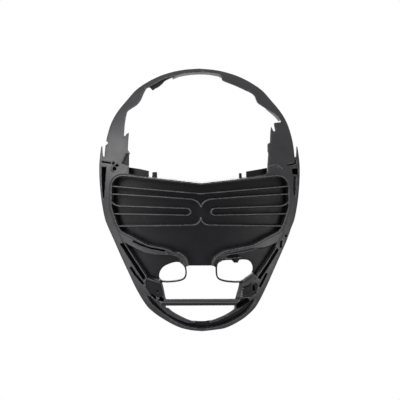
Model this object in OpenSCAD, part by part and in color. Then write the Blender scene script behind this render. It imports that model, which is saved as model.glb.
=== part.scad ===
// Headlight guard for a motorbike: one piece of black moulded plastic, open at the back.
// X runs across, Z up, and the rider's view forward is along -Y, so the front faces -Y.
// The skin lies on a dome. Every depth is measured from that dome's face, towards the back.

/* [Overall] */
// Width over the two side skirts
guard_w = 313; // [300:1:326]
// Height from the chin to the top of the hoop
guard_h = 419; // [405:1:435]
// Radius of the dome that the face lies on
dome_r = 360; // [345:5:400]
// How far the foremost point of the dome lies below the middle line
nose_drop = 20; // [10:1:30]
// Wall of the moulding
wall = 2.4; // [2:0.1:3]

/* [Depths from the dome face] */
// Crest of the pocket's rim
rim_d = 0; // [0:0.5:2]
// Crest of the ribs
rib_d = 1.2; // [0.5:0.1:2.5]
// Face of the shoulders, hoop and jaw
skin_d = 8; // [7:0.5:9]
// Floor of the ribbed pocket and of the cheeks
floor_d = 12.5; // [11.5:0.5:14]
// Floor of the blind slots and channels
well_d = 21; // [18:0.5:24]
// Back edge of the wall round the jaw, the shoulders and the hoop
skirt_d = 28; // [26:1:31]
// Front edge of the eye rims
eye_rim_d = 5; // [4:0.5:6.5]
// Crest of the bars below the pocket
bar_d = 4; // [3:0.5:5]

/* [Ribbed pocket] */
// Thickness of the pocket's rim
rim_t = 2.2; // [1.8:0.1:2.8]
// Thickness of each rib
rib_t = 2; // [1.6:0.1:2.6]
// Draft of the pocket's outer side, in degrees
draft_angle = 13; // [8:1:16]
// Back edge of the pocket's walls
box_back_d = 25; // [23:1:28]

/* [Openings] */
// Height of the crossbar
bar_h = 11.5; // [9:0.5:13]
// Depth of the crossbar, front to back
bar_depth = 9; // [7:0.5:12]
// Width of the long slots in the jaw
slot_w = 3.6; // [3:0.1:4.2]
// Width of the fine slits
slit_w = 1.8; // [1.4:0.1:2.2]
// Thickness of the rims round the eyes
eye_rim_t = 1.8; // [1.4:0.1:2.4]
// Face of the tabs behind the pocket's top edge
tab_d = 20; // [18:0.5:21]

/* [Fixings] */
// Diameter of the screw hole in the upper left shoulder
upper_screw_d = 5.4; // [4:0.1:6]
// Diameter of the screw hole in the lower right flank
lower_screw_d = 3.2; // [2.5:0.1:4]
// Wall of a screw boss
boss_wall = 2.2; // [1.8:0.1:3]
// Length of a screw boss
boss_len = 12; // [8:0.5:14]

/* [Hidden] */

// The outlines are drawn on a sheet of this size and stretched to the guard's own
sheet_w = 313;
sheet_h = 419;
clear = 20;       // how far the cuts run in front of the dome
reach = 140;      // how far they run behind it
dome_faces = 96;  // faces of the dome in the preview
steps = 3;        // straight pieces between two points of a curve

function place(points) = [for (p = points) [p.x * guard_w / sheet_w, p.y * guard_h / sheet_h]];
function flip(points) = [for (p = points) [-p.x, p.y]];
function back(points) = [for (i = [len(points) - 1:-1:0]) points[i]];

// A smooth curve through the points, as a chain of short straight pieces
function blend(a, b, c, d, t) =
    0.5 * (2 * b + (c - a) * t + (2 * a - 5 * b + 4 * c - d) * t * t + (3 * b - a - 3 * c + d) * t * t * t);
function curve(p, n = steps) = concat(
    [for (i = [0:len(p) - 2]) for (j = [0:n - 1])
        blend(p[max(i - 1, 0)], p[i], p[i + 1], p[min(i + 2, len(p) - 1)], j / n)],
    [p[len(p) - 1]]);
function loop(p, n = steps) = [for (i = [0:len(p) - 1]) for (j = [0:n - 1])
    blend(p[(i - 1 + len(p)) % len(p)], p[i], p[(i + 1) % len(p)], p[(i + 2) % len(p)], j / n)];

// Unit vectors along and square to a stretch of an outline
function unit(v) = v / norm(v);
function left_of(v) = [-v.y, v.x];
function corner(a, b, c, t) =
    let (n = left_of(unit(b - a)), m = unit(n + left_of(unit(c - b)))) b + m * t / max(m * n, 0.5);

// A closed outline moved outwards by t: points run anticlockwise
function grow(p, t) = [for (i = [0:len(p) - 1])
    corner(p[(i - 1 + len(p)) % len(p)], p[i], p[(i + 1) % len(p)], -t)];

// A band of width t along an open path
function side(p, t) = [for (i = [0:len(p) - 1])
    i == 0 ? p[0] + left_of(unit(p[1] - p[0])) * t
    : i == len(p) - 1 ? p[i] + left_of(unit(p[i] - p[i - 1])) * t
    : corner(p[i - 1], p[i], p[i + 1], t)];
function band(p, t) = concat(side(p, -t / 2), back(side(p, t / 2)));

// Outlines, right half from the top down, in millimetres on the sheet
hoop_edge = place([[0, 212], [17, 211.5], [33, 209.7], [46, 206.7], [58, 202.5], [68, 198.2], [77, 193.3],
    [90.5, 184.5], [101, 176], [109.5, 167.5], [116, 159], [122, 151], [128, 142.5], [133, 135],
    [137.5, 126], [141, 117.5], [144, 107.5], [146.5, 94], [148.2, 78], [149.5, 60], [150, 40]]);
skirt_edge = place([[155.8, 64], [156.5, 48], [155.7, 31], [154.2, 15], [152.2, 0], [149.3, -16],
    [145.4, -31], [140, -44], [132.7, -61.5], [126.5, -77], [120.4, -92.5], [114, -108], [107.5, -123.5],
    [100.6, -139.5], [92.5, -155.5], [87.5, -163.5], [81, -171.5], [73, -178.8], [64, -185], [47.5, -194.5],
    [40, -198.3], [32, -201.7], [24, -204.3], [16, -206], [8, -206.8]]);
top_z = hoop_edge[0].y;
bottom_z = -207 * guard_h / sheet_h;

// Body below the hoop, and the hoop with its shoulders: anticlockwise
skirt_top = place([[148.8, 64], [142, 40]]);
jaw_outline = concat(back(flip(skirt_top)), flip(skirt_edge), [[0, bottom_z]], back(skirt_edge), skirt_top);
hoop_outline = concat(back(hoop_edge), [for (i = [1:len(hoop_edge) - 1]) flip(hoop_edge)[i]]);

// Inner edge of the hoop and of the two shoulders, clockwise from the left shoulder's foot
aperture = concat(
    place([[-109.5, 40], [-109.5, 71], [-107.7, 71.8], [-111.8, 78], [-111, 93.5], [-110.4, 106],
        [-114.3, 103], [-117.7, 98.5], [-118.3, 101]]),
    curve(place([[-117.6, 118], [-116.5, 127], [-115, 135], [-113, 141], [-102, 148.5], [-95.8, 154],
        [-92.5, 159.5], [-88.8, 168], [-85.5, 176], [-80.8, 181], [-76, 183.5]]), 2),
    curve(place([[-72.5, 179.5], [-68, 181.5], [-62, 189], [-54.5, 196.5], [-30, 203], [0, 205.5],
        [18.6, 205], [34, 201.5]]), 2),
    curve(place([[38.3, 193], [50.3, 188], [66.3, 180.5], [82.4, 173], [88, 168], [94.4, 155.5],
        [105.5, 147.3], [113.5, 142], [122, 136.5], [128, 129]]), 2),
    place([[127.5, 123.5], [118.8, 122.5], [121.5, 116], [119, 107.5], [113.9, 116.5], [111.6, 107],
        [110.4, 90.5], [106.5, 88.5], [105.5, 86], [105.8, 75.5], [107, 74.5], [104.5, 52], [104.5, 40],
        [0, 20]]));

// Ribbed pocket: its outer edge, right half from the middle of the top down
pocket_right = concat(place([[0, 25.5], [60, 32.8]]), curve(place([[115, 39], [123, 38.6], [130, 35.8],
    [135, 31], [137.6, 25], [138.3, 17], [138.3, 0], [138.2, -8], [136.8, -16], [133, -27], [128.5, -39],
    [122, -49], [107, -56.5], [92, -64.5], [80, -70.5], [66, -73], [46, -77]]), 2));
pocket_foot_right = curve(place([[46, -77], [37, -79], [29, -83.5], [23, -88.5], [19.6, -94],
    [19, -100.5]]), 2);
pocket_foot_left = curve(place([[-48, -77.5], [-40, -81.5], [-33, -81.5], [-27, -85.5], [-22.5, -91.5],
    [-20.5, -100.5]]), 2);
pocket_left = [for (p = flip(pocket_right)) if (p.x > -guard_w || p.y > 0) p];
pocket_outline = back(concat([for (i = [0:len(pocket_right) - 2]) pocket_right[i]], pocket_foot_right,
    back(pocket_foot_left), back([for (i = [1:len(pocket_left) - 2]) pocket_left[i]])));

// Ribs, right half of each from the middle outwards
rib_paths = [
    place([[-0.5, 9.4], [139, 21.5]]),
    concat(curve(place([[-0.6, -10.4], [3, -4.8], [7.5, -1.2], [14, 1.2]]), 2),
        place([[60, 4.8], [139, 9.5]])),
    concat(curve(place([[138.5, 3], [135.5, -3.5], [131, -7.3], [124, -9.2]]), 2), place([[60, -11.2]]),
        curve(place([[21, -12.7], [17, -14.2], [15.5, -17.8], [17, -21.4], [21, -22.9]]), 2),
        place([[60, -22], [138, -21]])),
    concat(curve(place([[-0.4, -26.4], [1.5, -31.3], [4.5, -34.8], [9, -37], [16, -37.8]]), 2),
        place([[76, -39], [129.5, -40]])),
];

// Openings below the pocket
eye_left = loop(place([[-63.5, -119], [-62, -110], [-57, -103], [-50, -99], [-40.5, -95.6], [-33, -95.4],
    [-27.5, -98.5], [-24, -104], [-23.3, -112], [-25, -118.3], [-31, -121.8], [-44, -124], [-58, -124]]), 2);
eye_right = loop(place([[27, -118], [25.4, -110], [25.4, -101], [27, -96.3], [32, -93.4], [47.5, -92.2],
    [50.5, -95.6], [58, -95.7], [60.5, -92.2], [72, -92.4], [78.5, -97], [81.3, -105], [79.5, -113],
    [70.5, -119], [62, -125], [44, -124.3], [33, -122]]), 2);
mid_opening = place([[-21, -100.5], [-21, -123], [-58.5, -127], [-55.7, -139], [-53.2, -154],
    [-53, -168], [55, -168], [55, -154], [57, -144.5], [60.3, -129], [40, -129], [19.5, -120],
    [19.5, -100.5]]);
chin_opening = concat(place([[-53, -160]]), curve(place([[-53, -165], [-43, -174.5], [-27.5, -184],
    [-12, -190.8], [2, -192.3], [13, -191.3], [31, -185.5], [48, -176.5], [57, -169]]), 2),
    place([[57, -160]]));

// Sunk cheeks beside the eyes: anticlockwise
cheek_left = place([[-119, -64.5], [-108, -83], [-93, -104.5], [-83, -119], [-73, -122], [-62, -122],
    [-58, -106], [-44, -99], [-44, -84.5], [-69, -84], [-84.5, -81], [-100, -74]]);
cheek_right = place([[119, -65], [108, -70.5], [95, -75], [84, -79.5], [62, -81.5], [48, -84.5],
    [48, -94], [74, -96], [78, -105], [80, -111], [86, -116], [100, -98], [117, -74]]);

// Blind slots: anticlockwise outlines of their mouths
slots = [
    band(place([[-122.5, -68.5], [-105, -93], [-84.5, -121.5]]), slot_w),
    band(place([[-107.7, -103.5], [-101, -114.5], [-87.5, -130.5]]), slot_w * 0.8),
    band(place([[121, -76], [106, -100], [92, -122]]), slot_w),
    band(place([[104, -114], [98, -126], [93, -136]]), slot_w),
    band(place([[127.5, -64], [125.8, -75]]), slot_w * 0.8),
    band(place([[84.2, -133], [84.6, -142]]), slot_w * 0.9),
    band(place([[-101, -64], [-92, -68.5], [-77, -73.2], [-56, -77]]), slit_w),
    band(place([[-152, 60], [-137, 57.5], [-131, 59]]), slit_w),
    band(place([[137, 55], [144, 56], [151.5, 58.5]]), slit_w),
    place([[-131, 56], [-130.5, 52.5], [-126, 51], [-126.5, 54.5]]),
    place([[-67.5, -140], [-68, -143], [-65, -143], [-65, -140]]),
    place([[-77, -147], [-69, -156], [-67, -153], [-75, -146]]),
    place([[63, -161], [79, -160], [79.5, -157], [75, -153.5], [67.5, -153.5]]),
    place([[147, 51], [147.2, 42], [148.2, 31], [149.4, 12], [150, -8], [151.6, 15], [152.6, 31], [153.4, 51]]),
    place([[-153.4, 51], [-152.6, 31], [-151.6, 15], [-150, -8], [-149, 12], [-147.8, 31], [-147, 51]]),
];

// Channel round the chin, right half: its outer and inner edge from the middle upwards
chin_outer = place([[8, -202.2], [24, -199.7], [38, -194.3], [54, -185.5], [66, -177.2], [76.5, -168.5],
    [87, -153.5], [90, -146]]);
chin_inner = place([[12, -194.8], [29, -188.5], [45.5, -178.5], [56, -171.5], [68, -162], [78, -152],
    [84, -146]]);
chin_channel = concat(flip(back(chin_outer)), chin_outer, back(chin_inner), flip(chin_inner));

// Spike at the top of each side skirt
spike = place([[153, 55], [156.5, 48], [155.8, 66], [154.2, 84.5], [153, 76]]);

// Inner wall of the hoop, along the top and on the right
function upright(points) = concat(points, back(side(points, wall)));
hoop_walls = [
    upright(place([[-62, 189], [-54.5, 196.2], [-42, 200.8], [-30, 203], [0, 205], [18.6, 204], [34, 200.5]])),
    upright(place([[105.5, 147.3], [113.5, 142], [122, 136.5], [128.5, 128.5]])),
];

// Flange strips and small tabs behind the pocket's top edge
tabs = [
    place([[-112.5, 34], [-79, 30], [-79, 45.5], [-93, 48.5], [-112.5, 51.5]]),
    place([[-73.5, 30], [-66, 29], [-66, 43.2], [-73.5, 43.2]]),
    place([[71.5, 30], [105.5, 34], [105.5, 51], [94, 48.5], [71.5, 44.5]]),
    place([[60, 28], [64.6, 28], [64.6, 41.8], [60, 41.8]]),
];

// Lit bars under the pocket's lower edges, and the facet beside the right eye
bar_left = place([[-128, -42], [-119, -64], [-100, -73.5], [-84.5, -80.5], [-69, -83.5], [-50, -83],
    [-50, -70]]);
bar_right = place([[128, -38], [46, -70], [46, -78.5], [50, -83.2], [62, -81], [84, -79], [95, -74.5],
    [108, -70], [119.5, -64.5], [129, -52]]);
facet_right = place([[60.7, -126.6], [62, -130], [66.9, -131], [86.3, -117.4], [85.4, -114.9],
    [80.6, -114]]);

// The draft grows an outline from this point, and the crest keeps the drawn outline
draft_centre = place([[0, -100.5]])[0];
taper = tan(draft_angle) / (guard_w / 2);
function face_y(p, depth = 0) =
    dome_r - sqrt(pow(dome_r - depth, 2) - p.x * p.x - pow(p.y + nose_drop, 2));
function undrafted(points) = [for (p = points)
    draft_centre + (p - draft_centre) / (1 + taper * face_y(p))];

upper_screw = place([[-131.5, 47.5]])[0];
lower_screw = place([[132, -55.8]])[0];
bar_top = -153.3 * guard_h / sheet_h;
bar_half = 62 * guard_w / sheet_w;
ring_h = 0.6;     // how far a screw boss stands proud of the face

// The origin is the middle of the finished guard
front_y = min([for (path = rib_paths, p = path) face_y(p, rib_d)]);
rear_y = max([for (p = hoop_edge) face_y(p, skirt_d)]);
middle = [0, (front_y + rear_y) / 2, (top_z + bottom_z) / 2];

module ball(depth) translate([0, dome_r, -nose_drop]) sphere(r = dome_r - depth, $fn = dome_faces);

// The flat drawing run back through the whole guard
module run_back() rotate([90, 0, 0]) translate([0, 0, -reach])
    linear_extrude(reach + clear) children();

// The same, growing towards the back by the mould's draft
module run_back_drafted() {
    translate([draft_centre.x, 0, draft_centre.y]) rotate([-90, 0, 0])
        linear_extrude(reach, scale = 1 + taper * reach)
            mirror([0, 1]) translate(-draft_centre) children();
}

// The drawing as a curved plate between two depths
module layer(front, rear) {
    intersection() {
        run_back() children();
        difference() {
            ball(front);
            ball(rear);
        }
    }
}

// Everything inside the drawing and in front of a depth
module sunk(depth) {
    difference() {
        run_back() children();
        ball(depth);
    }
}

module outlines(list) for (outline = list) polygon(outline);

// Shoulders, hoop and jaw: a curved shell with a wall round its outer edge
module shell() {
    difference() {
        layer(skin_d, skirt_d) difference() {
            union() {
                polygon(hoop_outline);
                polygon(jaw_outline);
                for (hand = [0, 1]) mirror([hand, 0]) polygon(spike);
            }
            polygon(aperture);
            polygon(mid_opening);
            polygon(chin_opening);
            polygon(pocket_outline);
        }
        intersection() {
            run_back() {
                difference() {
                    polygon(grow(hoop_outline, -wall));
                    outlines(hoop_walls);
                }
                polygon(grow(jaw_outline, -wall));
            }
            ball(skin_d + wall);
        }
    }
}

// Pocket with its drafted side, as a solid that is still closed at the front
module pocket_block() {
    difference() {
        intersection() {
            run_back_drafted() polygon(undrafted(pocket_outline));
            difference() {
                ball(rim_d);
                ball(box_back_d);
            }
        }
        intersection() {
            run_back_drafted() polygon(undrafted(grow(pocket_outline, -wall)));
            ball(floor_d + wall);
        }
    }
}

module pocket_hollow() {
    sunk(floor_d) {
        polygon(grow(pocket_outline, -rim_t));
        translate(draft_centre - [18.3, 5]) square([35.2, 20]);
    }
}

module ribs() {
    layer(rib_d, floor_d + wall / 2) intersection() {
        for (path = rib_paths, hand = [0, 1]) mirror([hand, 0]) polygon(band(path, rib_t));
        polygon(pocket_outline);
    }
}

// Bar across the mouth: an upper facet that faces up and a lower one that faces down
module crossbar() {
    translate([-bar_half, face_y([0, bar_top], skin_d), bar_top]) rotate([90, 0, 90])
        linear_extrude(2 * bar_half)
            polygon([[2.5, 0], [0, -bar_h * 0.42], [1.5, -bar_h], [bar_depth, -bar_h], [bar_depth, 0]]);
}

module boss(place, bore_d) {
    translate([place.x, face_y(place, skin_d) - ring_h, place.y]) rotate([-90, 0, 0])
        cylinder(d = bore_d + 2 * boss_wall, h = boss_len, $fn = 48);
}

module bore(place, bore_d) {
    translate([place.x, face_y(place, skin_d) - clear, place.y]) rotate([-90, 0, 0])
        cylinder(d = bore_d, h = clear + boss_len - wall, $fn = 48);
}

module guard_moulding() {
    color("dimgray") translate(-middle) {
        difference() {
            union() {
                shell();
                pocket_block();
                layer(skin_d, well_d + wall) for (s = slots) polygon(grow(s, wall));
                layer(skin_d, well_d + wall) polygon(grow(chin_channel, wall));
                layer(skin_d, floor_d + wall) {
                    polygon(grow(cheek_left, wall));
                    polygon(grow(cheek_right, wall));
                }
                layer(eye_rim_d, floor_d + wall) {
                    polygon(grow(eye_left, eye_rim_t));
                    polygon(grow(eye_right, eye_rim_t));
                }
                layer(bar_d, skin_d + wall) {
                    polygon(bar_left);
                    polygon(bar_right);
                    polygon(facet_right);
                }
                layer(tab_d, tab_d + wall) outlines(tabs);
                crossbar();
                boss(upper_screw, upper_screw_d);
                boss(lower_screw, lower_screw_d);
            }
            pocket_hollow();
            sunk(well_d) outlines(slots);
            sunk(well_d) polygon(chin_channel);
            sunk(floor_d) {
                polygon(cheek_left);
                polygon(cheek_right);
            }
            run_back() {
                polygon(eye_left);
                polygon(eye_right);
            }
            bore(upper_screw, upper_screw_d);
            bore(lower_screw, lower_screw_d);
        }
        ribs();
    }
}

guard_moulding();
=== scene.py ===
import math

import bpy
import numpy
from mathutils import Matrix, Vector


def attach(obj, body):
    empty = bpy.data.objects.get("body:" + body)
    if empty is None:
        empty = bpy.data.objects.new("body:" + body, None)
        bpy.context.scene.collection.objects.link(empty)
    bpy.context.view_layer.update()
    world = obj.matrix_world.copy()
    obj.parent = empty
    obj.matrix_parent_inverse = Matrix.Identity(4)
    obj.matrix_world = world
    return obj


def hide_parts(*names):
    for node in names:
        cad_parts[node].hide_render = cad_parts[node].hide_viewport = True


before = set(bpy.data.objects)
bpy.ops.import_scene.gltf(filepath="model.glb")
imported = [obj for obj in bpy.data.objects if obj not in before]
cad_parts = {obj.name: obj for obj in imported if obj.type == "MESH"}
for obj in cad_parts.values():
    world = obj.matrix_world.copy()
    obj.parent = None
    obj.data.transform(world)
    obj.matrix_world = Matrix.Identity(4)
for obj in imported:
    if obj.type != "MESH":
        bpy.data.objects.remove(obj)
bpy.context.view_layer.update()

# Guard outlines
# The guard is one injection moulding. Its face follows a dome, and the mould's parting lines give
# it these outlines, seen from straight in front and written as (x, z) in millimetres.
WALL = 2.4


def between(a, b, c, d, t):
    """A point on the smooth path from b to c, whose neighbours are a and d."""
    return tuple(0.5 * (2 * b[k] + (c[k] - a[k]) * t
                        + (2 * a[k] - 5 * b[k] + 4 * c[k] - d[k]) * t * t
                        + (3 * b[k] - a[k] - 3 * c[k] + d[k]) * t ** 3) for k in (0, 1))


def curve(points, steps=2):
    """A smooth path through the points, as short straight pieces."""
    path = []
    last = len(points) - 1
    for i in range(last):
        nearby = points[max(i - 1, 0)], points[i], points[i + 1], points[min(i + 2, last)]
        path += [between(*nearby, j / steps) for j in range(steps)]
    return path + [points[last]]


def flip(points):
    """The same points on the other side of the guard's middle."""
    return [(-x, z) for x, z in points]


# The hoop round the lamp. Its left half is its right half mirrored.
hoop_edge = curve([(0, 214.8), (24.5, 212.7), (44, 208.6), (63.5, 202), (83, 191.9), (102, 178.1),
                   (116.5, 160.4), (127.2, 146.9), (135.6, 133.6), (141.4, 120.4), (145, 107.3),
                   (147.7, 94), (149.3, 78), (150, 60), (150, 40)], steps=6)
hoop = hoop_edge[::-1] + flip(hoop_edge)[1:]

# The flanks, with a pointed horn above a slot beside each shoulder, and the two unequal jaws.
flank = curve([(157.6, 64), (158, 54), (157.4, 37), (155.7, 18), (153.4, -0.8), (150, -19.5),
               (147, -32)], steps=5)
horn = [(152.1, 67.5), (153, 76), (153.8, 85.4), (155.6, 85), (156.6, 76.5), (157.2, 69)]
behind_horn = [(151, 69.5), (160, 69.5), (160, 90), (151, 90)]
slot_foot = [(148.6, 67.5), (142, 40)]
jaw_right = curve([(141.8, -44.2), (134.9, -63.1), (124.1, -87.9), (113.4, -113), (102.8, -138.5),
                   (90.6, -164.6), (80.5, -177.7), (64.8, -190.8), (42.4, -202.7), (23.3, -206.2),
                   (4, -208.2)], steps=5)
jaw_left = curve([(-141.8, -44.2), (-133.3, -62.6), (-122.5, -87.3), (-111.2, -112.3),
                  (-99.8, -137.6), (-85.1, -163.5), (-72.6, -176.6), (-54.1, -189.7),
                  (-33.7, -200.9), (-14.7, -206.3), (4, -208.2)], steps=5)


def lower_edge(horn_points):
    """The outline of shoulders, flanks, jaws and chin, with the horns or with none."""
    return (jaw_right[::-1] + flank[::-1] + horn_points[::-1] + slot_foot + flip(slot_foot)[::-1]
            + flip(horn_points) + flip(flank) + jaw_left[:-1])


# The lamp shows through the aperture, whose edge has hooks, notches and clip seats all round.
aperture = (
    [(-110, 40), (-110.2, 71.2), (-108.5, 71.9), (-112.3, 78.2), (-111.8, 93.5), (-111.1, 106.1),
     (-115.1, 103.3), (-118.3, 98.7), (-119, 101)]
    + curve([(-118.3, 118.1), (-117.4, 126.4), (-116.1, 134.7), (-113.9, 141.4), (-102.8, 148.6),
             (-96.6, 154.3), (-92.8, 161), (-90.3, 168), (-86.2, 177.7), (-83.1, 180.7),
             (-79.8, 181.4)])
    + [(-76.4, 177.3), (-74.4, 176)]
    + curve([(-71.6, 179), (-65.2, 182.3), (-58.8, 188.5), (-55.6, 192.6), (-47.5, 197),
             (-39.4, 200), (-31.3, 203.6), (-14.9, 206.8), (1.5, 207.9), (18, 207.2),
             (33.7, 204.2)])
    + [(35.1, 199.2), (36.9, 192.8)]
    + curve([(41.2, 190.5), (57.2, 184.2), (73.2, 176.6), (81.2, 172.9), (85.9, 169.6), (89, 165.3),
             (91.7, 156.2), (96.4, 152.1), (104.4, 147), (112.4, 142), (118.3, 138.9),
             (122.6, 135.6), (126.5, 131.2), (129.3, 126.5)])
    + [(129.8, 124.4), (117.8, 122.5), (117.8, 117.2), (119.1, 108.2), (116.1, 108.9), (112.7, 117),
       (110.7, 107), (109.3, 90), (105.1, 87.4), (104.6, 74.7), (105.9, 73.9), (103.6, 51.8),
       (103.6, 40), (0, 20)])[::-1]
notch = [(-152, 94.6), (-150.5, 86.2), (-146.7, 87.2), (-144, 90.9)]

# The pocket's rim, its ribs and the strip between the eyes where its foot has no rim.
pocket_right = [(0, 25), (60, 32.2)] + curve(
    [(115, 38.6), (123, 38.6), (130, 35.8), (135, 31), (137.6, 25), (138.3, 17), (138.3, 0),
     (138.2, -8), (136.8, -16), (133, -27), (128.5, -39), (122, -49), (107, -56.5), (92, -64.5),
     (80, -70.5), (66, -73), (46, -77)])
foot_right = curve([(46, -77), (37, -79), (29, -83.5), (23, -88.5), (19.6, -94), (19, -100.5)])
foot_left = curve([(-48, -77.5), (-40, -81.5), (-33, -81.5), (-27, -85.5), (-22.5, -91.5),
                   (-20.5, -100.5)])
pocket = (pocket_right[:-1] + foot_right + foot_left[::-1] + flip(pocket_right)[1:-1][::-1])[::-1]
foot_gap = [(-18.3, -105.5), (16.9, -105.5), (16.9, -85.5), (-18.3, -85.5)]
rib_paths = [
    [(-0.5, 9.4), (139, 21.5)],
    curve([(-0.6, -10.4), (3, -4.8), (7.5, -1.2), (14, 1.2)]) + [(60, 4.8), (139, 9.5)],
    curve([(138.5, 3), (135.5, -3.5), (131, -7.3), (124, -9.2)]) + [(60, -11.2)]
    + curve([(21, -12.7), (17, -14.2), (15.5, -17.8), (17, -21.4), (21, -22.9)])
    + [(60, -22), (138, -21)],
    curve([(-0.4, -26.4), (1.5, -31.3), (4.5, -34.8), (9, -37), (16, -37.8)])
    + [(76, -39), (129.5, -40)]]


def loop(points, steps=2):
    """A smooth closed path through the points."""
    count = len(points)
    return [between(points[i - 1], points[i], points[(i + 1) % count], points[(i + 2) % count],
                    j / steps) for i in range(count) for j in range(steps)]


eyes = [
    loop([(-63.5, -119), (-62, -110), (-57, -103), (-50, -99), (-40.5, -95.6), (-33, -95.4),
          (-27.5, -98.5), (-24, -104), (-23.3, -112), (-25, -118.3), (-31, -121.8), (-44, -124),
          (-58, -124)])[::-1],
    loop([(27, -118), (25.4, -110), (25.4, -101), (27, -96.3), (32, -93.4), (47.5, -92.2),
          (50.5, -95.6), (58, -95.7), (60.5, -92.2), (72, -92.4), (78.5, -97), (81.3, -105),
          (79.5, -113), (70.5, -119), (62, -125), (44, -124.3), (33, -122)])[::-1]]
mid_opening = [
    (-20.8, -100.5), (-23.5, -104), (-30, -109), (-40, -112), (-56, -120), (-59.5, -125.5),
    (-57.6, -131), (-56, -139), (-54.5, -147.5), (-53.4, -154), (-53.2, -168), (54, -168),
    (54.3, -154), (56.5, -144.5), (58.9, -135), (60, -128), (56, -120), (45, -112), (31, -109),
    (24, -104), (19.8, -100.5)]
chin_opening = [(-51.6, -160)] + curve(
    [(-51.6, -165.2), (-43.9, -173.4), (-28.3, -182.8), (-12.6, -189.7), (1, -191.3),
     (14.2, -190.2), (34.5, -182.5), (46.9, -175.5), (54.4, -169.6)]) + [(54.4, -160)]

MITRE_LIMIT = 0.5


def shifted_corner(a, b, c, distance):
    """The corner b of a path a, b, c moved to the left of the path's run."""
    one, two = Vector(b) - Vector(a), Vector(c) - Vector(b)
    first, second = (Vector((-v.y, v.x)).normalized() for v in (one, two))
    way = (first + second).normalized()
    return tuple(Vector(b) + way * distance / max(way.dot(first), MITRE_LIMIT))


def side_line(path, distance):
    """A line beside an open path, to the left of its run."""
    ends = [Vector(path[1]) - Vector(path[0]), Vector(path[-1]) - Vector(path[-2])]
    first, last = (Vector((-v.y, v.x)).normalized() * distance for v in ends)
    corners = [shifted_corner(path[i - 1], path[i], path[i + 1], distance)
               for i in range(1, len(path) - 1)]
    return [tuple(Vector(path[0]) + first)] + corners + [tuple(Vector(path[-1]) + last)]


# Two stretches of the hoop's inner edge carry a wall, which overlaps the plate it stands on.
WALL_LAP = 1.5
hoop_walls = [path + side_line(path, WALL + WALL_LAP)[::-1] for path in (
    [(-43, 198.4), (-31.8, 202.1), (-15.1, 205.3), (1.4, 206.4), (17.7, 205.7), (36.4, 201.8)],
    [(108, 148), (113.5, 143.4), (118.3, 139.6), (122, 135.6), (125.2, 131.2), (128, 126.8)])]

# Guard mouldings
# The guard is thin plates that follow the dome, with floors sunk to depths of their own behind its
# face. The back is open, with a wall round every slot. Depths run from the foremost form backwards.
DOME_R, NOSE_DROP = 360, 20
RIM_D, RIB_D, BAR_D, EYE_RIM_D, RIDGE_D, SKIN_D = 0, 1.2, 4, 5, 6, 8
HOLLOW_D, FLOOR_D, CHIN_D, CHEEK_D, TAB_D, SLOT_D = 10.5, 12.5, 13, 15, 20, 21
POCKET_BACK_D, SKIRT_D = 25, 26.5

# The pocket's mould draws forwards, so the pocket widens backwards from its foot's middle.
HALF_WIDTH, BROW_Z, FOOT_Z = 156.5, 25.5, -100.5
FLANK_DRAFT, BROW_DRAFT = math.radians(13), math.radians(6)
DRAFT_CENTRE = Vector((0, FOOT_Z))
taper = (math.tan(FLANK_DRAFT) / HALF_WIDTH, math.tan(BROW_DRAFT) / (BROW_Z - FOOT_Z))

FRONT_Y, REAR_Y = -20, 140
DOME_CELL, DOME_STEPS_X, DOME_STEPS_Z = 6, 56, 74


def make_solid(verts, faces):
    """A mesh object from points and faces."""
    mesh = bpy.data.meshes.new("solid")
    mesh.from_pydata(verts, [], faces)
    made = bpy.data.objects.new("solid", mesh)
    bpy.context.collection.objects.link(made)
    return made


def tube(front_ring, rear_ring):
    """A closed solid between two rings whose points match one another."""
    count = len(front_ring)
    faces = [list(range(count)), list(range(2 * count - 1, count - 1, -1))]
    faces += [[(i + 1) % count, i, i + count, (i + 1) % count + count] for i in range(count)]
    return make_solid(front_ring + rear_ring, faces)


def prism(outline, front=FRONT_Y, rear=REAR_Y, draft=(0, 0)):
    """An outline run back through the guard, wider at the back where the mould has draft."""
    area = sum(outline[i - 1][0] * p[1] - p[0] * outline[i - 1][1] for i, p in enumerate(outline))
    spokes = [Vector(p) - DRAFT_CENTRE for p in (outline if area > 0 else outline[::-1])]
    return tube(*[[(DRAFT_CENTRE.x + out.x * (1 + draft[0] * y), y,
                    DRAFT_CENTRE.y + out.y * (1 + draft[1] * y)) for out in spokes]
                  for y in (front, rear)])


def face_y(point, depth=0):
    """How far back the dome lies at a point."""
    return DOME_R - math.sqrt((DOME_R - depth) ** 2 - point[0] ** 2 - (point[1] + NOSE_DROP) ** 2)


def dome_block(depth):
    """All that lies behind the dome at one depth, as a closed block with a finely stepped face."""
    across = [(i - DOME_STEPS_X / 2) * DOME_CELL for i in range(DOME_STEPS_X + 1)]
    up = [(i - DOME_STEPS_Z / 2) * DOME_CELL for i in range(DOME_STEPS_Z + 1)]
    verts = [(x, face_y((x, z), depth), z) for z in up for x in across]
    row = len(across)
    faces = [[i + j * row, i + 1 + j * row, i + 1 + (j + 1) * row, i + (j + 1) * row]
             for j in range(DOME_STEPS_Z) for i in range(DOME_STEPS_X)]
    edge = (list(range(row)) + [row - 1 + j * row for j in range(1, DOME_STEPS_Z)]
            + list(range(len(verts) - 1, len(verts) - row - 1, -1))
            + [j * row for j in range(DOME_STEPS_Z - 1, 0, -1)])
    first, count = len(verts), len(edge)
    verts += [(verts[i][0], REAR_Y + WALL, verts[i][2]) for i in edge]
    faces += [[edge[(i + 1) % count], edge[i], first + i, first + (i + 1) % count]
              for i in range(count)]
    faces.append(list(range(first + count - 1, first - 1, -1)))
    return make_solid(verts, faces)


def apply_modifiers(piece):
    """Turns what a piece's modifiers make into its mesh."""
    view_layer = bpy.context.view_layer
    view_layer.update()
    finished = bpy.data.meshes.new_from_object(piece.evaluated_get(view_layer.depsgraph))
    piece.modifiers.clear()
    piece.data = finished


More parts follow.
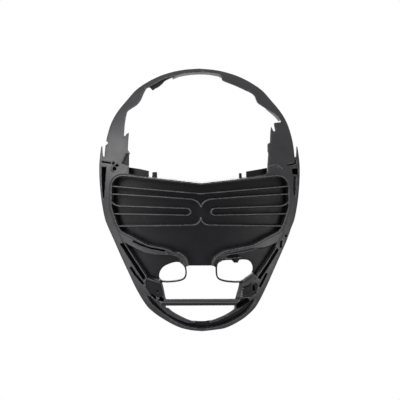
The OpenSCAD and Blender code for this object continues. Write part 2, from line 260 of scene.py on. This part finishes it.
def combine(operation, base, others):
    """One Boolean step for each of the other solids, which are used up."""
    for other in others:
        step = base.modifiers.new("step", "BOOLEAN")
        step.operation = operation
        step.solver = "MANIFOLD"
        step.object = other
    apply_modifiers(base)
    for other in others:
        bpy.data.objects.remove(other)
    return base


def join(pieces):
    """Several solids as one."""
    return combine("UNION", pieces[0], pieces[1:])


def cut(base, *others):
    """The first solid without the others."""
    return combine("DIFFERENCE", base, others)


def within(base, *others):
    """What the first solid shares with all the others."""
    return combine("INTERSECT", base, others)


def prisms(outlines):
    """Several outlines run back through the guard, as one solid."""
    return join([prism(outline) for outline in outlines])


def layer(base, front, rear):
    """The part of a solid between two depths behind the dome."""
    return cut(within(base, dome_block(front)), dome_block(rear))


def sunk(base, depth):
    """The part of a solid in front of one depth, which cuts a floor at that depth."""
    return cut(base, dome_block(depth))


def undrafted(points):
    """The outline at depth zero whose crest, once drafted, comes out as drawn."""
    return [(DRAFT_CENTRE.x + (p[0] - DRAFT_CENTRE.x) / (1 + taper[0] * face_y(p)),
             DRAFT_CENTRE.y + (p[1] - DRAFT_CENTRE.y) / (1 + taper[1] * face_y(p)))
            for p in points]


def grow(points, distance):
    """An outline that runs anticlockwise, moved outwards."""
    count = len(points)
    return [shifted_corner(points[i - 1], points[i], points[(i + 1) % count], -distance)
            for i in range(count)]


def band(path, width):
    """The outline of a strip of one width along a path."""
    return side_line(path, -width / 2) + side_line(path, width / 2)[::-1]


# Slots: the long ones beside the cheeks, then those in the shoulders, the jaws and the flanks.
slots = [
    [(-124.4, -67), (-88.6, -123), (-85.8, -122.5), (-85.2, -116.8), (-118.6, -66.5)],
    band([(-107.7, -103.5), (-101, -114.5), (-87.5, -130.5)], 3.8),
    band([(120.2, -76), (105.2, -100), (91.2, -122)], 5),
    band([(103.5, -114), (98, -126), (93, -136)], 3.6),
    band([(126, -63.2), (125.2, -74)], 2.9),
    band([(83.8, -133), (84.2, -142)], 3.2),
    band([(65.5, -135.6), (71, -134.8), (75.8, -132.4), (79.4, -129)], 1.8),
    band([(-103, -62.6), (-92, -68), (-77, -73), (-54, -77.3)], 2.3),
    band([(-154, 60), (-146, 58.8), (-138.6, 57.4)], 2.2),
    band([(136, 54.6), (145, 56), (150.6, 58.2), (150.8, 64)], 1.8),
    [(-132.2, 53.8), (-130.8, 52.4), (-127.4, 51.6), (-125.9, 54), (-129, 55.9)],
    [(-137.3, 55.2), (-134.1, 55.1), (-132.6, 59), (-135.3, 59.4)],
    [(-67.5, -140), (-68, -143), (-65, -143), (-65, -140)],
    [(-77, -147), (-69.5, -155.5), (-67.5, -152.5), (-75, -146)],
    [(-65, -156.8), (-56.5, -157), (-56, -154), (-58.5, -150.9), (-62.5, -150.8)],
    [(56.8, -158), (56.8, -170.5), (62.5, -169), (70, -165), (78.2, -159.5), (78.2, -156.5),
     (74, -153.2), (66.5, -153), (61.5, -156.8)],
    [(144.4, 49.4), (144.9, 40.2), (154, 40.1), (154.4, 49.9)],
    [(-153.6, 51.9), (-153.3, 31.2), (-152.2, 15.5), (-149.8, -5), (-148.4, 15.5),
     (-147.6, 31.1), (-146.4, 51.8)]]

# Sunk floors: the dark cheeks beside the eyes, shallower hollows and the channel along the chin.
cheeks = [
    [(-117, -64.5), (-106.4, -81.5), (-91.5, -104.5), (-82, -119), (-73, -122), (-62, -122),
     (-58, -106), (-44, -99), (-31, -97), (-32, -90), (-37, -86), (-46, -84), (-69, -84),
     (-84.5, -81), (-100, -74)],
    [(119, -65), (108, -70.5), (97, -73.8), (88, -74.8), (80, -75.8), (66, -78), (48, -82),
     (38, -87), (33, -91), (33, -95), (74, -96), (78, -105), (80, -111), (86.5, -117),
     (101.2, -97), (116.2, -73)]]
hollows = [
    [(-40, 201.4), (-55.6, 196.6), (-63.6, 192.8), (-71.6, 187.4), (-79.6, 183.2), (-77.5, 172),
     (-60, 179), (-53, 188), (-40, 194)],
    [(-114.3, 72.1), (-121.4, 56.5), (-106, 52.5), (-106, 72.5)],
    [(146.6, 37.4), (145.6, 16), (147.4, 0), (149.3, 16), (150.8, 37.4)],
    [(-84, -122.5), (-84.5, -136), (-77, -150), (-62, -152), (-57, -150), (-58.5, -139),
     (-61, -129.5), (-70, -127)],
    [(65.7, -138), (67, -151), (80, -151), (88, -146), (90.5, -133), (87, -128.5),
     (79.8, -131.5)]]
chin_channel = (
    curve([(-84, -148), (-75.5, -162), (-59, -176.5), (-42, -188.8), (-25, -197.8), (-8.5, -202),
           (8, -203), (24, -201), (41, -195.8), (57.5, -187.8), (74, -176), (84.5, -160)])
    + [(86, -154), (77, -158.5), (59, -174), (43, -183), (27, -191), (16, -193.5), (13, -187),
       (-4, -187), (-8, -193), (-19, -193.5), (-35.5, -187), (-51.5, -178), (-63, -167),
       (-76.5, -150.5)])

# Raised forms: ridge lines with their widths, and flat bars along the cheeks' upper edges.
ridges = [
    ([(-118, -64.5), (-84.5, -116.5), (-83.3, -121.5), (-87.5, -127.5)], 1.7),
    ([(117.4, -74.2), (102.4, -98.3), (87, -121)], 1.7),
    ([(-84, -120), (-70, -125), (-59, -128)], 1.5),
    ([(42, -83), (61, -80.5), (77, -77.3), (90, -73)], 2),
    ([(37, -88.7), (50, -88.8), (62, -87.3)], 1.5),
    ([(104.2, 51), (111.3, 54), (117.8, 54.7), (122.7, 52.9), (128, 48.6)], 1.6)]
bars = [
    [(-128, -42), (-119, -64), (-100, -73.5), (-84.5, -80.5), (-69, -83.5), (-50, -83),
     (-50, -70)],
    [(128, -38), (46, -70), (46, -80), (66, -76), (80, -73.5), (88, -73.2), (97, -73),
     (108, -70), (119.5, -64.5), (129, -52)],
    [(-39, -84), (-35, -78.5), (-24, -82), (-19.8, -91), (-20.6, -100.4), (-25, -99), (-28, -92),
     (-33, -87)]]

# Tabs stand behind the pocket's top edge, two on each side.
tabs = [
    [(-113.5, 34), (-79.4, 30), (-79.4, 45), (-93.5, 48.3), (-113.5, 51.5)],
    [(-74.2, 30), (-66.6, 29), (-66.6, 43.2), (-74.2, 43.2)],
    [(70.8, 30), (105, 34), (105, 50.6), (93.4, 48.2), (70.8, 44.2)],
    [(59.5, 28), (64.1, 28), (64.1, 41.7), (59.5, 41.7)]]

# The skin and the skirt, as one shell whose inside is hollowed out from the back.
plate = cut(prisms([hoop, lower_edge(horn)]),
            *[prism(hole) for hole in (aperture, mid_opening, chin_opening, notch, pocket)])
shell = layer(plate, SKIN_D, SKIRT_D)
inside = cut(prism(grow(hoop, -WALL)), *[prism(wall) for wall in hoop_walls])
inside = join([inside, prism(grow(lower_edge([]), -WALL)), prism(behind_horn),
               prism(flip(behind_horn))])
shell = cut(shell, within(inside, dome_block(SKIN_D + WALL)))

# The pocket, as a drafted box with a floor one wall thick.
pocket_block = cut(within(prism(undrafted(pocket), draft=taper), dome_block(RIM_D)),
                   dome_block(POCKET_BACK_D))
pocket_block = cut(pocket_block, within(prism(undrafted(grow(pocket, -WALL)), draft=taper),
                                        dome_block(FLOOR_D + WALL)))


def boat(outlines, depth):
    """The walls and the floor round sunk outlines, kept inside the guard's edge."""
    walls = prisms([grow(outline, WALL) for outline in outlines])
    room = prisms([grow(edge, -WALL / 2) for edge in (hoop, lower_edge([]))])
    room = cut(room, prism(aperture), prism(chin_opening), prism(mid_opening))
    return layer(within(walls, room), SKIN_D, depth + WALL)


RIM_WIDTH, EYE_RIM_WIDTH, RIB_WIDTH = 2.2, 2.3, 2
eye_rims = layer(prisms([grow(eye, EYE_RIM_WIDTH) for eye in eyes]), EYE_RIM_D, FLOOR_D + WALL)
lit_bars = layer(prisms(bars), BAR_D, SKIN_D + WALL)
tab_plates = layer(prisms(tabs), TAB_D, TAB_D + WALL)

# The crossbar under the eyes has an upper and a lower facet that meet in a ridge.
BAR_TOP, BAR_HALF, BAR_HEIGHT, BAR_DEPTH, BAR_RIDGE = -153.8, 62, 10.5, 9, 0.5
UPPER_LEAN, LOWER_LEAN = 2.8, 6
bar_y = face_y((0, BAR_TOP), SKIN_D)
bar_section = [(bar_y + UPPER_LEAN, BAR_TOP), (bar_y, BAR_TOP - BAR_HEIGHT * BAR_RIDGE),
               (bar_y + LOWER_LEAN, BAR_TOP - BAR_HEIGHT),
               (bar_y + BAR_DEPTH, BAR_TOP - BAR_HEIGHT), (bar_y + BAR_DEPTH, BAR_TOP)]
crossbar = tube(*[[(x, y, z) for y, z in bar_section] for x in (-BAR_HALF, BAR_HALF)])

ROUND_STEPS = 64


def round_bar(place, diameter, front, length):
    """A round bar that runs straight back."""
    ring = [(place[0] + diameter / 2 * math.cos(math.tau * i / ROUND_STEPS),
             place[1] + diameter / 2 * math.sin(math.tau * i / ROUND_STEPS))
            for i in range(ROUND_STEPS)]
    return prism(ring, front, front + length)


# Each screw hole, as its place and diameter, runs through a round boss that stands a little proud.
BOSS_WALL, BOSS_LENGTH, BOSS_RISE = 2.2, 12, 0.6
screws = [((-132.8, 48.7), 5.45), ((133.3, -55.6), 3.23)]
bosses = [round_bar(place, bore + 2 * BOSS_WALL, face_y(place, SKIN_D) - BOSS_RISE, BOSS_LENGTH)
          for place, bore in screws]
bores = [round_bar(place, bore, FRONT_Y, face_y(place, SKIN_D) + BOSS_LENGTH - WALL - FRONT_Y)
         for place, bore in screws]

guard = join([shell, pocket_block, boat(slots, SLOT_D), boat([chin_channel], CHIN_D),
              boat(cheeks, CHEEK_D), boat(hollows, HOLLOW_D), eye_rims, lit_bars, tab_plates,
              crossbar] + bosses)
guard = cut(guard, sunk(prisms([grow(pocket, -RIM_WIDTH), foot_gap]), FLOOR_D),
            sunk(prisms(slots), SLOT_D), sunk(prism(chin_channel), CHIN_D),
            sunk(prisms(cheeks), CHEEK_D), sunk(prisms(hollows), HOLLOW_D),
            prism(eyes[0]), prism(eyes[1]), *bores)

ribs = within(prisms([band(side, RIB_WIDTH) for path in rib_paths
                      for side in (path, flip(path)[::-1])]), prism(pocket))
ribs = layer(ribs, RIB_D, FLOOR_D + WALL / 2)
ridge_lines = layer(prisms([band(path, width) for path, width in ridges]),
                    RIDGE_D, CHEEK_D + WALL / 2)

# Facets by the right eye, as the corners (x, y, z) of their faces.
facets = [
    [(66, 29.6832, -132), (87, 29.3853, -117.6), (81.5, 30.4355, -113), (60.5, 30.1595, -127)],
    [(64.5, 30.5295, -150.5), (66.5, 36.0105, -135), (60.3, 31.4472, -131),
     (56.3, 37.7667, -150)]]


def facet(corners):
    """A solid between a facet's face and the back of the skin."""
    return tube(corners, [(x, face_y((x, z), SKIN_D + WALL), z) for x, y, z in corners])


guard = join([guard, ribs, ridge_lines] + [facet(corners) for corners in facets])
guard.name = "guard_skin"

# The drawing's middle becomes the frame's origin. It was drawn 1 % larger than the CAD solid, so
# it is brought to lie just inside the solid's box.
SCALE = 0.9905
MIDDLE = Vector((0, 62.56, 3.3))
MM_PER_M = 1000
for vertex in guard.data.vertices:
    vertex.co = (vertex.co - MIDDLE) * SCALE / MM_PER_M

# Guard skin
# A mould has no sharp edges, so a fine grid and a few rounds of smoothing ease every corner.
# Corners are painted paler, a painted highlight where their rounding would catch the light, and the
# mould's own steel gives the faces their sheen.
GRID_MM = 0.7
EASE_ROUNDS = 3
SKIN_TRIANGLES = 190000
remesh = guard.modifiers.new("fine_grid", "REMESH")
remesh.mode = "VOXEL"
remesh.voxel_size = GRID_MM / MM_PER_M
ease = guard.modifiers.new("eased_edges", "SMOOTH")
ease.factor = 0.5
ease.iterations = EASE_ROUNDS
apply_modifiers(guard)
guard.data.calc_loop_triangles()
thin_out = guard.modifiers.new("thin_out", "DECIMATE")
thin_out.ratio = min(1, SKIN_TRIANGLES / len(guard.data.loop_triangles))
apply_modifiers(guard)
mesh = guard.data
for face in mesh.polygons:
    face.use_smooth = True


def linear(hex_colour):
    """One sRGB hex colour as a linear RGBA."""
    parts = [int(hex_colour[i:i + 2], 16) / 255 for i in (1, 3, 5)]
    return [c / 12.92 if c <= 0.04045 else ((c + 0.055) / 1.055) ** 2.4 for c in parts] + [1]


def add_node(tree, kind, links=None, **settings):
    """One node: settings name its properties, links give inputs a value or another socket."""
    node = tree.nodes.new(kind)
    for name, value in settings.items():
        setattr(node, name, value)
    for socket, value in (links or {}).items():
        if isinstance(value, bpy.types.NodeSocket):
            tree.links.new(value, node.inputs[socket])
        else:
            node.inputs[socket].default_value = value
    return node


def vertex_rows(name):
    """One property of every vertex, in rows of three."""
    values = numpy.empty(len(mesh.vertices) * 3)
    mesh.vertices.foreach_get(name, values)
    return values.reshape(-1, 3)


# The painted edge highlight follows how far the surface bends away from each vertex: none below the
# low limit, full above the high one, then evened out with the vertices beside it.
BEND_LOW, BEND_HIGH = 0.12, 0.42
SHORTEST_EDGE = 1e-9
spots, normals = vertex_rows("co"), vertex_rows("normal")
ends = numpy.empty(len(mesh.edges) * 2, dtype=numpy.int32)
mesh.edges.foreach_get("vertices", ends)
ends = numpy.concatenate([ends.reshape(-1, 2), ends.reshape(-1, 2)[:, ::-1]])
near, far = ends[:, 0], ends[:, 1]
edge_run = spots[far] - spots[near]
edge_length = numpy.maximum(numpy.linalg.norm(edge_run, axis=1), SHORTEST_EDGE)
lean = -(edge_run * normals[near]).sum(axis=1) / edge_length
neighbours = numpy.bincount(near, minlength=len(spots))
bend = numpy.bincount(near, lean, len(spots)) / neighbours
edge_highlight_amount = numpy.clip((bend - BEND_LOW) / (BEND_HIGH - BEND_LOW), 0, 1)
edge_highlight_amount = numpy.bincount(near, edge_highlight_amount[far], len(spots)) / neighbours
painted_edge_highlight = mesh.attributes.new("painted_edge_highlight", "FLOAT", "POINT")
painted_edge_highlight.data.foreach_set("value", edge_highlight_amount.astype(numpy.float32))

# Black ABS from the mould. Faces and walls come from polished steel, so they take a satin sheen and
# read as soft greys. The floors come from spark-eroded steel and stay matt, and a darker colour
# paints shade on them, so they read as near black.
MOTTLE_MM, GRAIN_MM, GRAIN_HEIGHT_MM = 28, 0.6, 0.1
NOISE_LOW, NOISE_HIGH = 0.3, 0.7
TONE_SPREAD, ROUGHNESS_SPREAD = 0.18, 0.05


def moulded_abs(name, colour, highlight_colour, roughness, ior, grain):
    """Black ABS with mottling, painted highlights on the corners and the grain of the mould's
    steel.
    """
    made = bpy.data.materials.new(name)
    made.use_nodes = True
    tree = made.node_tree
    tree.nodes.clear()
    place = add_node(tree, "ShaderNodeTexCoord").outputs["Object"]
    mottle = add_node(tree, "ShaderNodeTexNoise", {
        "Vector": place, "Scale": MM_PER_M / MOTTLE_MM, "Detail": 4.0, "Roughness": 0.6})

    def spread(low, high):
        return add_node(tree, "ShaderNodeMapRange", {
            "Value": mottle.outputs["Fac"], "From Min": NOISE_LOW, "From Max": NOISE_HIGH,
            "To Min": low, "To Max": high}).outputs["Result"]

    cloud = spread(1 - TONE_SPREAD, 1 + TONE_SPREAD)
    tone = add_node(tree, "ShaderNodeMix", {0: 1.0, 6: linear(colour), 7: cloud},
                    data_type="RGBA", blend_type="MULTIPLY")
    # Painted highlight: corners that bend outwards are mixed towards a paler colour.
    corner = add_node(tree, "ShaderNodeAttribute", attribute_name="painted_edge_highlight")
    paler = add_node(tree, "ShaderNodeMix", {
        0: corner.outputs["Fac"], 6: tone.outputs[2], 7: linear(highlight_colour)}, data_type="RGBA")
    pits = add_node(tree, "ShaderNodeTexNoise", {
        "Vector": place, "Scale": MM_PER_M / GRAIN_MM, "Detail": 2.0})
    relief = add_node(tree, "ShaderNodeBump", {
        "Height": pits.outputs["Fac"], "Strength": grain, "Distance": GRAIN_HEIGHT_MM / MM_PER_M})
    surface = add_node(tree, "ShaderNodeBsdfPrincipled", {
        "Base Color": paler.outputs[2], "IOR": ior, "Normal": relief.outputs["Normal"],
        "Roughness": spread(roughness - ROUGHNESS_SPREAD, roughness + ROUGHNESS_SPREAD)})
    add_node(tree, "ShaderNodeOutputMaterial", {"Surface": surface.outputs["BSDF"]})
    return made


mesh.materials.clear()
mesh.materials.append(moulded_abs("satin_black_abs", "#252326", "#aaa7aa", 0.37, 1.39, 0.25))
# The floor material's darker colour is painted shade on the sunk floors and the parts listed below.
mesh.materials.append(moulded_abs("matt_black_abs_floor_painted_shade", "#100f12", "#2c2a2d", 0.42, 1.25, 0.5))

# The darker matt material, which paints shade, goes on the sunk floors that face the front and on
# some
# parts that stand forward: the struts round the eyes and the crossbar's lower facet, as boxes of
# least and greatest x and z.
MATT_SHADED_PARTS = [(-62, -20, -128, -120), (-27.5, -18, -124, -100.5), (20, 29.5, -124, -98),
              (22, 66, -129, -120),
              (-54, 57, BAR_TOP - BAR_HEIGHT - 1, BAR_TOP - BAR_HEIGHT * BAR_RIDGE)]
FACES_FRONT = 0.8
MATT_SHADED, DEEPEST_SATIN_D = 1, (SKIN_D + HOLLOW_D) / 2
dome_middle = (Vector((0, DOME_R, -NOSE_DROP)) - MIDDLE) * SCALE / MM_PER_M
for face in mesh.polygons:
    out = face.center - dome_middle
    depth = DOME_R - out.length * MM_PER_M / SCALE
    on_floor = depth > DEEPEST_SATIN_D and face.normal.dot(out.normalized()) > FACES_FRONT
    spot = face.center * MM_PER_M / SCALE + MIDDLE
    in_matt_shaded_part = any(x0 < spot.x < x1 and z0 < spot.z < z1 for x0, x1, z0, z1 in MATT_SHADED_PARTS)
    if on_floor or in_matt_shaded_part:
        face.material_index = MATT_SHADED
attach(guard, "root")
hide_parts("guard_moulding")

# View
# The photo was taken from about a metre away, level with the middle of the guard and a little to
# its left. One pixel of the frame is about 1.5 mm at the guard's foremost point.
FRAME_PX = 400
MM_PER_PX = 1.5 * SCALE
VIEW_DISTANCE_MM = 1100 * SCALE
VIEW_TURN = math.radians(1.75)
FRAME_CENTRE_PX, GUARD_CENTRE_PX = Vector((200, 200)), Vector((201, 200))
SENSOR_MM = 36

sideways = Vector((math.cos(VIEW_TURN), -math.sin(VIEW_TURN), 0))
forwards = Vector((math.sin(VIEW_TURN), math.cos(VIEW_TURN), 0))
shift_m = (FRAME_CENTRE_PX - GUARD_CENTRE_PX) * MM_PER_PX / MM_PER_M
camera_data = bpy.data.cameras.new("photo_view")
camera_data.sensor_width = SENSOR_MM
camera_data.lens = SENSOR_MM * VIEW_DISTANCE_MM / (FRAME_PX * MM_PER_PX)
camera = bpy.data.objects.new("photo_view", camera_data)
bpy.context.collection.objects.link(camera)
camera.location = (-MIDDLE * SCALE / MM_PER_M - forwards * VIEW_DISTANCE_MM / MM_PER_M
                   + sideways * shift_m.x)
camera.rotation_euler = forwards.to_track_quat("-Z", "Y").to_euler()
bpy.context.scene.camera = camera

# Light
# A room of white paper with soft lamps: the brightest high on the left, a tall one low on each
# side, a small one overhead and one behind. The camera and the plastic's sheen see plain white.
world = bpy.data.worlds.new("white_studio")
bpy.context.scene.world = world
world.use_nodes = True
tree = world.node_tree
tree.nodes.clear()
ray = add_node(tree, "ShaderNodeLightPath")
sees_white = ray.outputs["Is Camera Ray"]
for kind in ("Is Glossy Ray", "Is Transmission Ray"):
    sees_white = add_node(tree, "ShaderNodeMath", {0: sees_white, 1: ray.outputs[kind]},
                          operation="MAXIMUM").outputs[0]
ROOM_LIGHT, WHITE = 0.4, 1.0
level = add_node(tree, "ShaderNodeMapRange", {
    "Value": sees_white, "To Min": ROOM_LIGHT, "To Max": WHITE})
paper = add_node(tree, "ShaderNodeBackground",
                 {"Color": (1, 1, 1, 1), "Strength": level.outputs["Result"]})
add_node(tree, "ShaderNodeOutputWorld", {"Surface": paper.outputs[0]})


def soft_lamp(name, place, width, height, radiance):
    """A lamp that shines at the guard's middle, as large as it says in metres."""
    lamp = bpy.data.lights.new(name, "AREA")
    lamp.shape = "RECTANGLE"
    lamp.size, lamp.size_y = width, height
    lamp.energy = radiance * math.pi * width * height
    holder = bpy.data.objects.new(name, lamp)
    bpy.context.collection.objects.link(holder)
    holder.location = place
    holder.rotation_euler = (-Vector(place)).to_track_quat("-Z", "Y").to_euler()


soft_lamp("upper_left_lamp", (-1.15, -0.75, 0.75), 0.7, 0.7, 9)
soft_lamp("left_lamp", (-1.1, -1.1, -0.5), 0.5, 1.3, 5)
soft_lamp("right_lamp", (1.1, -1.1, -0.5), 0.5, 1.3, 5)
soft_lamp("top_lamp", (-0.5, -0.6, 1.15), 0.5, 0.4, 5)
soft_lamp("back_lamp", (-0.3, 1.3, 0.6), 1.0, 0.5, 4)

bpy.context.scene.view_settings.view_transform = "Standard"
